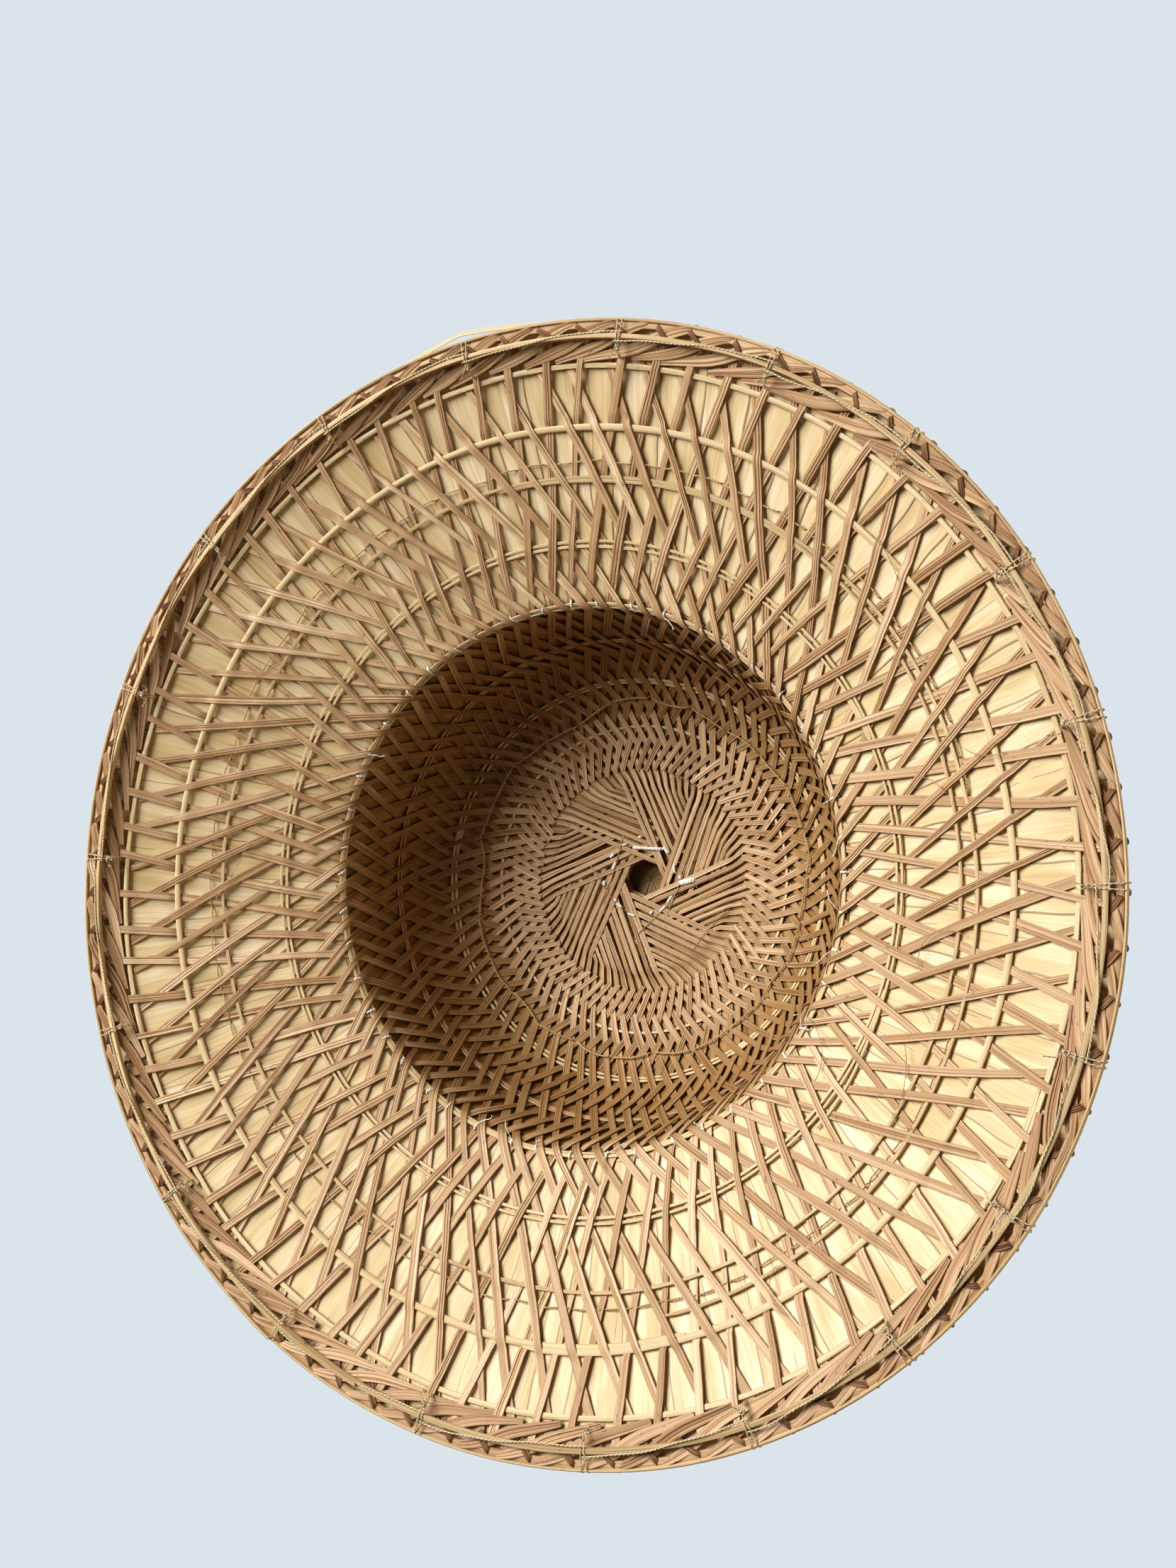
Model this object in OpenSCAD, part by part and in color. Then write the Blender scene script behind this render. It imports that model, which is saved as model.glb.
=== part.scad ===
// Conical hat of woven bamboo: a straight conical brim and a deep domed crown.
// A cream layer of broad leaves is held between an inner and an outer lattice
// of split-bamboo splints, with hoops between the two families of each lattice.
// Frame: +Z is the hat's own axis and points to the crown, the origin is the
// middle of the plane that the rim rests on. Units are millimetres.

/* [Overall] */
// Outside diameter of the rim
rim_d = 400; // [380:1:440]
// Diameter of the head opening, at the reference surface
mouth_d = 209; // [196:1:220]
// Slope of the brim above the horizontal, in degrees
brim_slope = 27; // [20:1:32]
// Height of the crown above the head opening
crown_h = 78; // [66:1:95]
// Lean of the crown wall from the vertical, in degrees
wall_lean = 14; // [6:1:18]
// Fall of the crown's roof from the apex outwards, in degrees
roof_fall = 6; // [3:1:10]
// Radius of the shoulder between the crown's wall and its roof
shoulder_r = 46; // [34:1:50]

/* [Splints] */
// Bundles of splints in the star at the apex
bundles = 8; // [6:1:10]
// Splints in each bundle
per_bundle = 10; // [8:1:11]
// Width of a splint
splint_w = 3.2; // [2.4:0.1:3.4]
// Thickness of a splint
splint_t = 0.6; // [0.4:0.1:0.6]
// Closest approach of a right-hand brim splint's line to the axis, with the brim laid flat
right_lay = 74; // [60:1:85]
// The same for a left-hand brim splint, which runs straighter
left_lay = 30; // [20:1:60]
// Slant of a splint on the crown, from the meridian, in degrees
crown_slant = 24; // [15:1:34]
// Radius of the star at the apex
star_r = 43; // [41:0.5:46]
// Distance of the star's first splints from the axis
hole_r = 9; // [8:0.5:11]

/* [Leaves] */
// Leaves round the brim
brim_leaf_count = 40; // [20:20:40]
// Leaves round the crown's wall and shoulder
crown_leaf_count = 18; // [12:1:24]
// Leaves on the crown's roof
top_leaf_count = 8; // [6:1:12]
// Thickness of the leaf layer, two or three leaves deep
leaf_t = 1; // [0.6:0.1:1]
// Width of the seam between neighbouring leaves, in degrees
leaf_seam = 0.4; // [0.2:0.1:0.6]

/* [Hoops] */
// Thickness of a hoop between the two families of splints
hoop_t = 1.2; // [0.8:0.1:1.2]
// Radius of the edge hoop, next to the rim
edge_hoop_r = 184.7; // [180:0.1:186]
// Radius of the flat hoop in the outer brim
outer_hoop_r = 165.7; // [160:0.1:170]
// Radius of the thin hoop in the middle of the brim
thin_hoop_r = 149; // [145:0.1:152]
// Radius of the double hoop in the inner brim
double_hoop_r = 127; // [122:0.1:132]
// Height of the lowest crown hoop above the head opening
low_hoop_z = 32; // [20:1:38]

/* [Rim and threads] */
// Twine ties round the rim
tie_count = 20; // [10:10:20]
// How far the ties crowd towards one side, in degrees
tie_crowding = 10; // [0:1:12]
// Thickness of the rim twine
twine_d = 1; // [0.6:0.1:1]
// Thickness of a stitching thread
thread_d = 0.6; // [0.4:0.1:0.6]
// Thread ties round the head opening
mouth_tie_count = 48; // [40:1:60]
// White stitches round the apex hole
apex_stitch_count = 14; // [8:1:18]

/* [Hidden] */
$fn = 96;

// Colours
splint_tan = [0.74, 0.60, 0.42];
splint_shade = [0.66, 0.51, 0.34];
leaf_cream = [0.91, 0.84, 0.65];
hoop_pale = [0.90, 0.83, 0.68];
rim_brown = [0.62, 0.49, 0.34];
twine_grey = [0.78, 0.75, 0.68];
thread_tan = [0.80, 0.69, 0.50];
thread_white = [0.95, 0.94, 0.92];

// Splints in each family, and the angle between neighbours
splints = bundles * per_bundle;
pitch = 360 / splints;
bundle_turn = 360 / bundles;

// Distances outward from the reference surface to the inside face of each layer
gap = 0.2;
layer_in = -hoop_t / 2 - gap - splint_t;
layer_mid = hoop_t / 2 + gap;
layer_leaf = layer_mid + splint_t + 0.3;
layer_out_low = layer_leaf + leaf_t + 0.3;
layer_out_hoop = layer_out_low + splint_t + gap;
layer_out_high = layer_out_hoop + hoop_t + gap;
shell_top = layer_out_high + splint_t;

// Rim: two split-bamboo hoops lie on the plane Z = 0
rim_hoop_h = 2.7;
rim_hoop_w = 3;
rim_outer_w = 2.6;
rim_outer_h = 3;
tie_skin = twine_d;
rim_inner_mid_r = rim_d / 2 - 8;
rim_outer_in_r = rim_d / 2 - tie_skin - rim_outer_w;
edge_r = rim_outer_in_r - 0.4;
tie_in_r = rim_d / 2 - 13.4;
tie_low = 0.15;
notch_h = tie_low + twine_d + 0.15;

// Reference surface: the rim, the head opening, the wall, the shoulder and the roof
ref_rim_z = rim_hoop_h + 1.5;
function brim_z(r) = ref_rim_z + (rim_inner_mid_r - r) * tan(brim_slope);
mouth_r = mouth_d / 2;
mouth_z = brim_z(mouth_r);
apex_z = mouth_z + crown_h;
// Corner where the wall's line meets the roof's line
corner_r = (mouth_r - tan(wall_lean) * crown_h) / (1 - tan(wall_lean) * tan(roof_fall));
corner_z = apex_z - corner_r * tan(roof_fall);
shoulder_turn = 90 - wall_lean - roof_fall;
shoulder_reach = shoulder_r * tan(shoulder_turn / 2);
wall_top = [corner_r + shoulder_reach * sin(wall_lean), corner_z - shoulder_reach * cos(wall_lean)];
shoulder_mid = wall_top + shoulder_r * [cos(wall_lean + shoulder_turn / 2) - cos(wall_lean),
                                        sin(wall_lean + shoulder_turn / 2) - sin(wall_lean)];
roof_edge = [corner_r - shoulder_reach * cos(roof_fall), corner_z + shoulder_reach * sin(roof_fall)];
star_edge = [star_r, apex_z - star_r * tan(roof_fall)];
half_brim_r = (edge_r + mouth_r) / 2;
meridian = [
    [edge_r, brim_z(edge_r)],
    [half_brim_r, brim_z(half_brim_r)],
    [mouth_r, mouth_z],
    wall_top,
    shoulder_mid,
    roof_edge,
    star_edge
];
last = len(meridian) - 1;

// Unit normal of stretch i of the meridian, pointing out of the hat
function unit(v) = v / norm(v);
function stretch_normal(i) = let (d = unit(meridian[i + 1] - meridian[i])) [d[1], -d[0]];
// Mitre at point i, so that an offset meridian keeps its thickness
function mitre(i) =
    let (a = stretch_normal(max(i - 1, 0)), b = stretch_normal(min(i, last - 1)))
    (a + b) / (1 + a * b);
function offset_point(i, d) = meridian[i] + d * mitre(i);

// Angle that a splint has turned through on its way from the rim to point i
brim_flat = cos(brim_slope);
function brim_turn(r, lay) = (acos(lay * brim_flat / edge_r) - acos(lay * brim_flat / r)) / brim_flat;
function crown_step(i) =
    let (a = meridian[i], b = meridian[i + 1], rise = norm(b - a), mid = (a[0] + b[0]) / 2)
    atan(rise * tan(crown_slant) / mid);
function turn_at(i, lay) =
    i <= 2 ? brim_turn(meridian[i][0], lay) : turn_at(i - 1, lay) + crown_step(i - 1);

// Angles that set the two families' places: the first ends where the star's splints begin
star_start = asin(hole_r / star_r);
right_start = star_start - turn_at(last, right_lay);
right_at_tie = right_start + brim_turn(tie_in_r, right_lay);
left_start = right_at_tie + brim_turn(tie_in_r, left_lay) + pitch / 3;
tie_start = right_at_tie + pitch * 2 / 3;
tie_step = 360 / tie_count;
// Each tie lies in a gap between splints; the ties crowd together round one side of the rim
function tie_angle(k) = tie_start + pitch * round((k * tie_step - tie_crowding * sin(k * tie_step)) / pitch);

// Width of a splint at point i: neighbours lie clear of each other where they crowd
function splint_width(i, lay) =
    let (
        a = max(i - 1, 0),
        b = min(i + 1, last),
        twist = (turn_at(b, lay) - turn_at(a, lay)) * PI / 180,
        slant = atan(meridian[i][0] * twist / norm(meridian[b] - meridian[a]))
    )
    min(splint_w, 0.88 * meridian[i][0] * pitch * PI / 180 * cos(slant));

// One splint, swept along the meridian with its twist; sense is 1 or -1
function cyl(p, a) = [p[0] * cos(a), p[0] * sin(a), p[1]];
module splint(sense, low, start) {
    lay = sense > 0 ? right_lay : left_lay;
    turns = [for (i = [0:last]) start + sense * turn_at(i, lay)];
    mids = [for (i = [0:last]) cyl(meridian[i], turns[i])];
    rings = [for (i = [0:last])
        let (
            along = unit(mids[min(i + 1, last)] - mids[max(i - 1, 0)]),
            out = cyl(mitre(i), turns[i]),
            side = unit(cross(out, along)) * splint_width(i, lay) / 2,
            base = mids[i] + out * low,
            top = mids[i] + out * (low + splint_t)
        )
        [base - side, base + side, top + side, top - side]];
    points = [for (ring = rings) for (p = ring) p];
    // Both broad faces are split along the same diagonal, so the thickness stays even
    walls = [for (i = [0:last - 1]) for (k = [0:3])
        let (a = 4 * i + k, b = 4 * i + (k + 1) % 4)
        each k == 2 ? [[a, a + 4, b], [b, a + 4, b + 4]] : [[a, b + 4, b], [a, a + 4, b + 4]]];
    end = 4 * last;
    caps = [[0, 2, 3], [0, 1, 2], [end, end + 2, end + 1], [end, end + 3, end + 2]];
    polyhedron(points, concat(walls, caps));
}
module splint_family(sense, low, start) {
    for (i = [0:splints - 1]) {
        rotate(i * pitch) splint(sense, low, start);
    }
}

// Star of straight splints round the apex hole: each bundle covers the ends of the last
function star_distance(j) = star_r * sin(star_start + j * pitch);
module star_splint(j) {
    trim = 0.15;
    rim = star_r - 0.4;
    first = star_distance(0) - splint_w / 2 - trim;
    // Where the next bundle's first splint meets the star's edge
    limit = rim * sin(bundle_turn + asin(first / rim)) - 0.5;
    near = star_distance(j) - splint_w / 2 + trim;
    next = j < per_bundle - 1 ? star_distance(j + 1) - splint_w / 2 : near + splint_w;
    far = min(near + splint_w - 2 * trim, next - trim, limit);
    inner_x = function(y) (y * cos(bundle_turn) - first) / sin(bundle_turn);
    outer_x = function(y) sqrt(pow(rim, 2) - pow(y, 2));
    polygon([[inner_x(near), near], [outer_x(near), near], [outer_x(far), far], [inner_x(far), far]]);
}
// Turn of the whole star, by half a bundle of splints
star_turn = floor(per_bundle / 2) * pitch;
module star(z) {
    for (b = [0:bundles - 1]) for (j = [0:per_bundle - 1]) {
        translate([0, 0, z]) rotate(star_turn + b * bundle_turn)
            linear_extrude(splint_t) star_splint(j);
    }
}

// Ring of separate curved leaves on the straight run from point i to point j of the meridian
module leaf_ring(i, j, count, start) {
    trim = 0.15;
    low = [for (k = [i, j]) offset_point(k, layer_leaf)];
    high = [for (k = [i, j]) offset_point(k, layer_leaf + leaf_t)];
    run = unit(low[1] - low[0]) * trim;
    for (n = [0:count - 1]) {
        rotate(start + leaf_seam / 2 + n * 360 / count)
            rotate_extrude(angle = 360 / count - leaf_seam)
            polygon([low[0] + run, high[0] + run, high[1] - run, low[1] - run]);
    }
}

// Hoop of rectangular section on stretch i, at the fraction f along it
module hoop(i, f, width, low = -hoop_t / 2, thick = hoop_t) {
    d = meridian[i + 1] - meridian[i];
    mid = meridian[i] + d * f + stretch_normal(i) * (low + thick / 2);
    rotate_extrude() translate(mid) rotate(atan2(d[1], d[0])) square([width, thick], center = true);
}
// The same on the brim, at a radius
module brim_hoop(r, width, low = -hoop_t / 2, thick = hoop_t) {
    i = r > half_brim_r ? 0 : 1;
    f = (meridian[i][0] - r) / (meridian[i][0] - meridian[i + 1][0]);
    hoop(i, f, width, low, thick);
}

// Straight stitches round the inside, on stretch i at the fraction f
module stitches(i, f, count, length, cant, dia, start = 0) {
    depth = layer_in - 0.5 - dia / 2;
    n = stretch_normal(i);
    mid = meridian[i] + (meridian[i + 1] - meridian[i]) * f + n * depth;
    for (k = [0:count - 1]) {
        rotate(start + k * 360 / count) translate([mid[0], 0, mid[1]])
            rotate([0, 90 - atan2(n[1], n[0]), 0]) rotate([90, 0, cant])
            cylinder(h = length, d = dia, center = true, $fn = 24);
    }
}

// Lattices
module inner_splints_right() { color(splint_tan) splint_family(1, layer_in, right_start); }
module inner_splints_left() { color(splint_shade) splint_family(-1, layer_mid, left_start); }
module inner_star() { color(splint_tan) star(star_edge[1] + layer_in); }
module outer_splints_right() { color(splint_tan) splint_family(1, layer_out_high, right_start); }
module outer_splints_left() { color(splint_shade) splint_family(-1, layer_out_low, left_start); }
outer_star_z = apex_z + layer_out_high;
module outer_star() { color(splint_tan) star(outer_star_z); }

// Leaf layer
module brim_leaves() { color(leaf_cream) leaf_ring(0, 2, brim_leaf_count, tie_start); }
module crown_wall_leaves() { color(leaf_cream) leaf_ring(2, 3, crown_leaf_count, 0); }
// Turn of the shoulder's leaves, so that their seams miss the wall's
shoulder_shift = 5;
module crown_shoulder_leaves() {
    color(leaf_cream) {
        leaf_ring(3, 4, crown_leaf_count, shoulder_shift);
        leaf_ring(4, 5, crown_leaf_count, shoulder_shift);
    }
}
roof_hole_r = hole_r + 4;
module crown_roof_leaves() {
    rise = (star_r - roof_hole_r) * tan(roof_fall);
    edge = offset_point(last - 1, layer_leaf);
    edge_top = offset_point(last - 1, layer_leaf + leaf_t);
    middle = [roof_hole_r, star_edge[1] + rise + layer_leaf / cos(roof_fall)];
    color(leaf_cream) for (n = [0:top_leaf_count - 1]) {
        rotate(n * 360 / top_leaf_count + leaf_seam)
            rotate_extrude(angle = 360 / top_leaf_count - 2 * leaf_seam)
            polygon([edge - [0.2, 0], edge_top - [0.2, 0], middle + [0, leaf_t], middle]);
    }
}

// Hoops woven into the inner lattice
module edge_hoop() { color(hoop_pale) brim_hoop(edge_hoop_r, 2); }
module outer_brim_hoop() { color(hoop_pale) brim_hoop(outer_hoop_r, 2.8); }
module thin_brim_hoop() { color(hoop_pale) brim_hoop(thin_hoop_r, 1.4); }
module double_brim_hoop() {
    color(hoop_pale) {
        brim_hoop(double_hoop_r - 1.2, 1.4);
        brim_hoop(double_hoop_r + 1.2, 1.4);
    }
}
module mouth_ring() {
    color(hoop_pale) {
        brim_hoop(mouth_r + 2.2, 2.4);
        hoop(2, 0.06, 2.2);
    }
}
wall_rise = wall_top[1] - mouth_z;
module low_crown_hoop() { color(hoop_pale) hoop(2, min(low_hoop_z / wall_rise, 0.92), 2.4); }
module middle_crown_hoop() {
    color(hoop_pale) {
        hoop(3, 0.76, 1.6);
        hoop(3, 0.86, 1.6);
    }
}
module top_crown_hoop() { color(hoop_pale) hoop(4, 0.58, 2); }

// Hoops woven into the outer lattice
module outer_shell_brim_hoops() {
    color(hoop_pale) for (r = [edge_hoop_r, outer_hoop_r, thin_hoop_r, double_hoop_r]) {
        brim_hoop(r, 2.2, layer_out_hoop);
    }
}
module outer_shell_crown_hoops() {
    color(hoop_pale) {
        hoop(2, 0.12, 2.2, layer_out_hoop);
        hoop(2, min(low_hoop_z / wall_rise, 0.92), 2.2, layer_out_hoop);
        hoop(3, 0.81, 2.2, layer_out_hoop);
        hoop(4, 0.58, 2.2, layer_out_hoop);
    }
}

// Rim: two hoops clamp the folded splint ends, tied with twine in shallow notches
module notched_ring(low_r, width, height) {
    difference() {
        rotate_extrude() translate([low_r, 0]) square([width, height]);
        for (k = [0:tie_count - 1]) {
            rotate(tie_angle(k)) translate([low_r + width / 2, 0, 0])
                cube([width + 2, twine_d + 0.6, 2 * notch_h], center = true);
        }
    }
}
module rim_hoop_inner() {
    color(rim_brown) notched_ring(rim_inner_mid_r - rim_hoop_w / 2, rim_hoop_w, rim_hoop_h);
}
module rim_hoop_outer() { color(hoop_pale) notched_ring(rim_outer_in_r, rim_outer_w, rim_outer_h); }
fold_r = rim_d / 2 - 12.6;
fold_l = fold_r * 2 * sin(pitch / 2) - 2.6;
module rim_fold_band() {
    depth = layer_in - 0.5 - splint_t / 2;
    n = stretch_normal(0);
    color(rim_brown) for (k = [0:splints - 1]) {
        rotate(tie_start + (k + 0.5) * pitch)
            translate([fold_r + n[0] * depth, 0, brim_z(fold_r) + n[1] * depth])
            rotate([0, brim_slope, 0]) rotate([0, 0, 8])
            cube([splint_w, fold_l, splint_t], center = true);
    }
}
module rim_ties() {
    top_in = brim_z(tie_in_r) + (shell_top + 1.4) / cos(brim_slope);
    top_out = brim_z(rim_d / 2) + (shell_top + 1.4) / cos(brim_slope);
    outline = [[tie_in_r, tie_low], [rim_d / 2, tie_low], [rim_d / 2, top_out], [tie_in_r, top_in]];
    opening = [[tie_in_r + twine_d, tie_low + twine_d], [rim_d / 2 - twine_d, tie_low + twine_d],
               [rim_d / 2 - twine_d, top_out - twine_d], [tie_in_r + twine_d, top_in - twine_d]];
    color(twine_grey) for (k = [0:tie_count - 1]) {
        rotate(tie_angle(k)) rotate([90, 0, 0]) linear_extrude(twine_d, center = true)
            difference() {
                polygon(outline);
                polygon(opening);
            }
    }
}
module rim_twine() {
    twine_r = rim_inner_mid_r - rim_hoop_w / 2 - thread_d;
    twine_z = rim_hoop_h / 2;
    color(twine_grey) for (k = [0:tie_count - 1]) {
        half = (tie_angle(k + 1) - tie_angle(k)) / 2;
        span = 2 * twine_r * sin(half) - twine_d - 2;
        rotate(tie_angle(k) + half) translate([twine_r * cos(half), 0, twine_z])
            rotate([90, 0, 0]) cylinder(h = span, d = thread_d, center = true, $fn = 24);
    }
}

// Stitches and ties of thread on the inside
module mouth_ties() { color(thread_white) stitches(1, 0.955, mouth_tie_count, 4.5, 35, thread_d); }
module brim_stitches() { color(thread_tan) stitches(1, 0.02, splints, 9.5, 3, thread_d); }
module crown_stitches() { color(thread_tan) stitches(4, 0.16, splints / 2, 9.5, 3, thread_d); }
module apex_stitches() {
    ring_r = hole_r + 8;
    color(thread_white) for (k = [0:apex_stitch_count - 1]) {
        rotate(k * 360 / apex_stitch_count) translate([ring_r, 0, star_edge[1] + layer_in - 0.2 - thread_d / 2])
            rotate([90, 0, 12]) cylinder(h = 4.5, d = thread_d, center = true, $fn = 24);
    }
}

// Peak: a small leaf cap closes the apex hole from outside, under a cane ring
peak_r = star_r - 15;
peak_h = 7;
peak_z = outer_star_z + splint_t + gap;
module peak_cap() {
    color(leaf_cream) rotate_extrude()
        polygon([[0, peak_z + peak_h - leaf_t], [peak_r - 4, peak_z], [peak_r, peak_z],
                 [peak_r, peak_z + leaf_t], [0, peak_z + peak_h]]);
}
module peak_ring() {
    color(hoop_pale) rotate_extrude() translate([peak_r - 1.2, peak_z + leaf_t + 1.2]) circle(d = 1.6);
}

inner_splints_right();
inner_splints_left();
inner_star();
outer_splints_right();
outer_splints_left();
outer_star();
brim_leaves();
crown_wall_leaves();
crown_shoulder_leaves();
crown_roof_leaves();
edge_hoop();
outer_brim_hoop();
thin_brim_hoop();
double_brim_hoop();
mouth_ring();
low_crown_hoop();
middle_crown_hoop();
top_crown_hoop();
outer_shell_brim_hoops();
outer_shell_crown_hoops();
rim_hoop_inner();
rim_hoop_outer();
rim_fold_band();
rim_ties();
rim_twine();
mouth_ties();
brim_stitches();
crown_stitches();
apex_stitches();
peak_cap();
peak_ring();
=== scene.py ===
"""A woven conical hat: two lattices of split bamboo with palm leaves between them, hoops, rim and threads.

Everything is placed by s, the distance along the hat's profile from the rim to the peak,
by an angle round the axis, and by lift, the distance outward from the reference surface.
"""

import math

import bpy
import numpy as np
from mathutils import Matrix, Vector


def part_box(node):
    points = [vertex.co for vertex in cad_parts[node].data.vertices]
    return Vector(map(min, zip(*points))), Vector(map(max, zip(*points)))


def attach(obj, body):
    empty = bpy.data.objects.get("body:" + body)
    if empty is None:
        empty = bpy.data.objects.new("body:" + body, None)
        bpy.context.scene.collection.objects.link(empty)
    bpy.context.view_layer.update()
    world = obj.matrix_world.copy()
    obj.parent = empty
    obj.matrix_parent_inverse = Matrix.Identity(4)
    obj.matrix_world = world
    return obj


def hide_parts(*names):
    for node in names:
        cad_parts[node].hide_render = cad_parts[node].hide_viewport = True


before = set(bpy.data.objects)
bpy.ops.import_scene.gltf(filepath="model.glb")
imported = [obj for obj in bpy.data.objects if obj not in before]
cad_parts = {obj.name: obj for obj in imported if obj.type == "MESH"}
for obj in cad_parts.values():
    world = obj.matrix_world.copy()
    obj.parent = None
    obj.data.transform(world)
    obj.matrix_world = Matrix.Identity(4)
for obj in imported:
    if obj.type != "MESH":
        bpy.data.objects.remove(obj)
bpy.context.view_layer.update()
BODY = "root"
MM = 0.001
DEG = math.pi / 180

# Profile of the reference surface
BRIM_SLOPE = 27 * DEG
WALL_LEAN = 14 * DEG
ROOF_FALL = 6 * DEG
CROWN_H = 78 * MM
SHOULDER_R = 46 * MM
PROFILE_STEP = 0.5 * MM
MOUTH_SOFTNESS = 5 * MM

# Splints
BUNDLES = 8
PER_BUNDLE = 10
SPLINTS = BUNDLES * PER_BUNDLE
PITCH = 2 * math.pi / SPLINTS
SPLINT_W = 3.3 * MM
SPLINT_T = 0.5 * MM
SPLINT_STEP = 1.9 * MM
SPLINT_START_R = 194 * MM
LEFT_END_R = 47 * MM
RIGHT_LAY = 66 * MM
LEFT_LAY = 27 * MM
CROWN_SLANT = 24 * DEG

# Star
STAR_R = 42 * MM
HOLE_R = 9 * MM
STAR_STEP = 1.6 * MM
STAR_TUCK = 8 * MM
STAR_LEAN = 0.75 * MM
STAR_RISE = 0.75 * MM

# Leaves
BRIM_LEAVES = 64
CROWN_LEAVES = 30
ROOF_LEAVES = 9
CAP_LEAVES = 8
LEAF_T = 0.22 * MM
LEAF_COLUMNS = 9

# Hoops, ties and stitches
HOOP_T = 0.7 * MM
RIM_TIES = 20
MOUTH_TIES = 48
BRIM_STITCHES = 80
CROWN_STITCHES = 26
APEX_STITCHES = 15
LOOSE_FIBRES = 26

# Layers, as lifts from the reference surface
INNER_LAYER = 0.0
LEAF_LAYER = 1.45 * MM
OUTER_LAYER = 3.4 * MM
CROSSING_LIFT = 0.29 * MM
HOOP_LIFT = 0.5 * MM
HOOP_REACH = 6 * MM


# -------- profile of the hat


def ring_middle(node):
    """Middle radius and height of a CAD node that is a ring."""
    points = [vertex.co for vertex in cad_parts[node].data.vertices]
    radii = [math.hypot(point.x, point.y) for point in points]
    heights = [point.z for point in points]
    return (min(radii) + max(radii)) / 2, (min(heights) + max(heights)) / 2


MOUTH_R, MOUTH_Z = ring_middle("mouth_ring")
RIM_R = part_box("rim_hoop_outer")[1].x


def profile_corners():
    """Corners of the profile from outside the rim to the axis, with the shoulder as an arc."""
    apex_z = MOUTH_Z + CROWN_H
    lean = math.tan(WALL_LEAN)
    fall = math.tan(ROOF_FALL)
    corner_r = (MOUTH_R - lean * CROWN_H) / (1 - lean * fall)
    corner_z = apex_z - corner_r * fall
    bend = math.pi / 2 - WALL_LEAN - ROOF_FALL
    reach = SHOULDER_R * math.tan(bend / 2)
    centre_r = corner_r + reach * math.sin(WALL_LEAN) - SHOULDER_R * math.cos(WALL_LEAN)
    centre_z = corner_z - reach * math.cos(WALL_LEAN) - SHOULDER_R * math.sin(WALL_LEAN)
    corners = [(RIM_R, MOUTH_Z - (RIM_R - MOUTH_R) * math.tan(BRIM_SLOPE)), (MOUTH_R, MOUTH_Z)]
    for angle in np.linspace(WALL_LEAN, WALL_LEAN + bend, 24):
        corners.append((centre_r + SHOULDER_R * math.cos(angle), centre_z + SHOULDER_R * math.sin(angle)))
    corners.append((0, apex_z))
    return np.array(corners)


def smooth(values, width):
    """Moving average that leaves straight runs as they are."""
    half = int(width / PROFILE_STEP / 2)
    slope_in = values[1] - values[0]
    slope_out = values[-1] - values[-2]
    before = values[0] - slope_in * np.arange(half, 0, -1)
    after = values[-1] + slope_out * np.arange(1, half + 1)
    padded = np.concatenate([before, values, after])
    return np.convolve(padded, np.ones(2 * half + 1) / (2 * half + 1), "valid")


def smoothstep(low, high, value):
    t = np.clip((value - low) / (high - low), 0, 1)
    return t * t * (3 - 2 * t)


CORNERS = profile_corners()
CORNER_S = np.concatenate([[0], np.cumsum(np.linalg.norm(np.diff(CORNERS, axis=0), axis=1))])
S = np.arange(0, CORNER_S[-1], PROFILE_STEP)
R = smooth(np.interp(S, CORNER_S, CORNERS[:, 0]), MOUTH_SOFTNESS)
Z = smooth(np.interp(S, CORNER_S, CORNERS[:, 1]), MOUTH_SOFTNESS)
R[-1] = 0
SLOPE_LENGTH = np.hypot(np.gradient(R), np.gradient(Z))
NORMAL_R = np.gradient(Z) / SLOPE_LENGTH
NORMAL_Z = -np.gradient(R) / SLOPE_LENGTH
MOUTH_S = CORNER_S[1]


def radius(s):
    return np.interp(s, S, R)


def s_at_radius(r):
    """Distance along the profile at which the radius is r."""
    return np.interp(-np.asarray(r), -R, S)


def s_of_ring(node):
    """Distance along the profile at which a ring-shaped CAD node sits."""
    r, z = ring_middle(node)
    return S[np.argmin(np.hypot(R - r, Z - z))]


def surface(s, angle, lift):
    """Points at distance s, an angle and a lift, and the outward normals there."""
    s, angle, lift = np.broadcast_arrays(s, angle, lift)
    nr = np.interp(s, S, NORMAL_R)
    nz = np.interp(s, S, NORMAL_Z)
    r = np.interp(s, S, R) + nr * lift
    z = np.interp(s, S, Z) + nz * lift
    cos, sin = np.cos(angle), np.sin(angle)
    points = np.stack([r * cos, r * sin, z], -1)
    normals = np.stack([nr * cos, nr * sin, nz], -1)
    return points, normals


def splint_slant(lay):
    """Angle between a splint and the profile: a straight line on the brim, steady on the crown."""
    brim = np.arcsin(lay / np.maximum(R, MOUTH_R))
    share = smoothstep(MOUTH_S - 4 * MM, MOUTH_S + 9 * MM, S)
    return brim * (1 - share) + CROWN_SLANT * share


# The right-hand family is 1 and the left-hand family is -1
SLANT = {1: splint_slant(RIGHT_LAY), -1: splint_slant(LEFT_LAY)}
TURN = {sense: np.cumsum(np.tan(SLANT[sense]) / np.maximum(R, HOLE_R)) * PROFILE_STEP for sense in SLANT}
STAR_S = s_at_radius(STAR_R)


def turn(s, sense):
    """Angle that a splint has turned through on its way from the rim to s."""
    return np.interp(s, S, TURN[sense])


STAR_START = math.asin(HOLE_R / STAR_R)
# Number of splints by which the star's bundles are turned on
STAR_SHIFT = 5
EDGE_CROSSING_S = s_at_radius(186.6 * MM)
START = {1: STAR_START - turn(STAR_S, 1)}
START[-1] = START[1] + turn(EDGE_CROSSING_S, 1) + turn(EDGE_CROSSING_S, -1) + PITCH / 3

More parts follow.
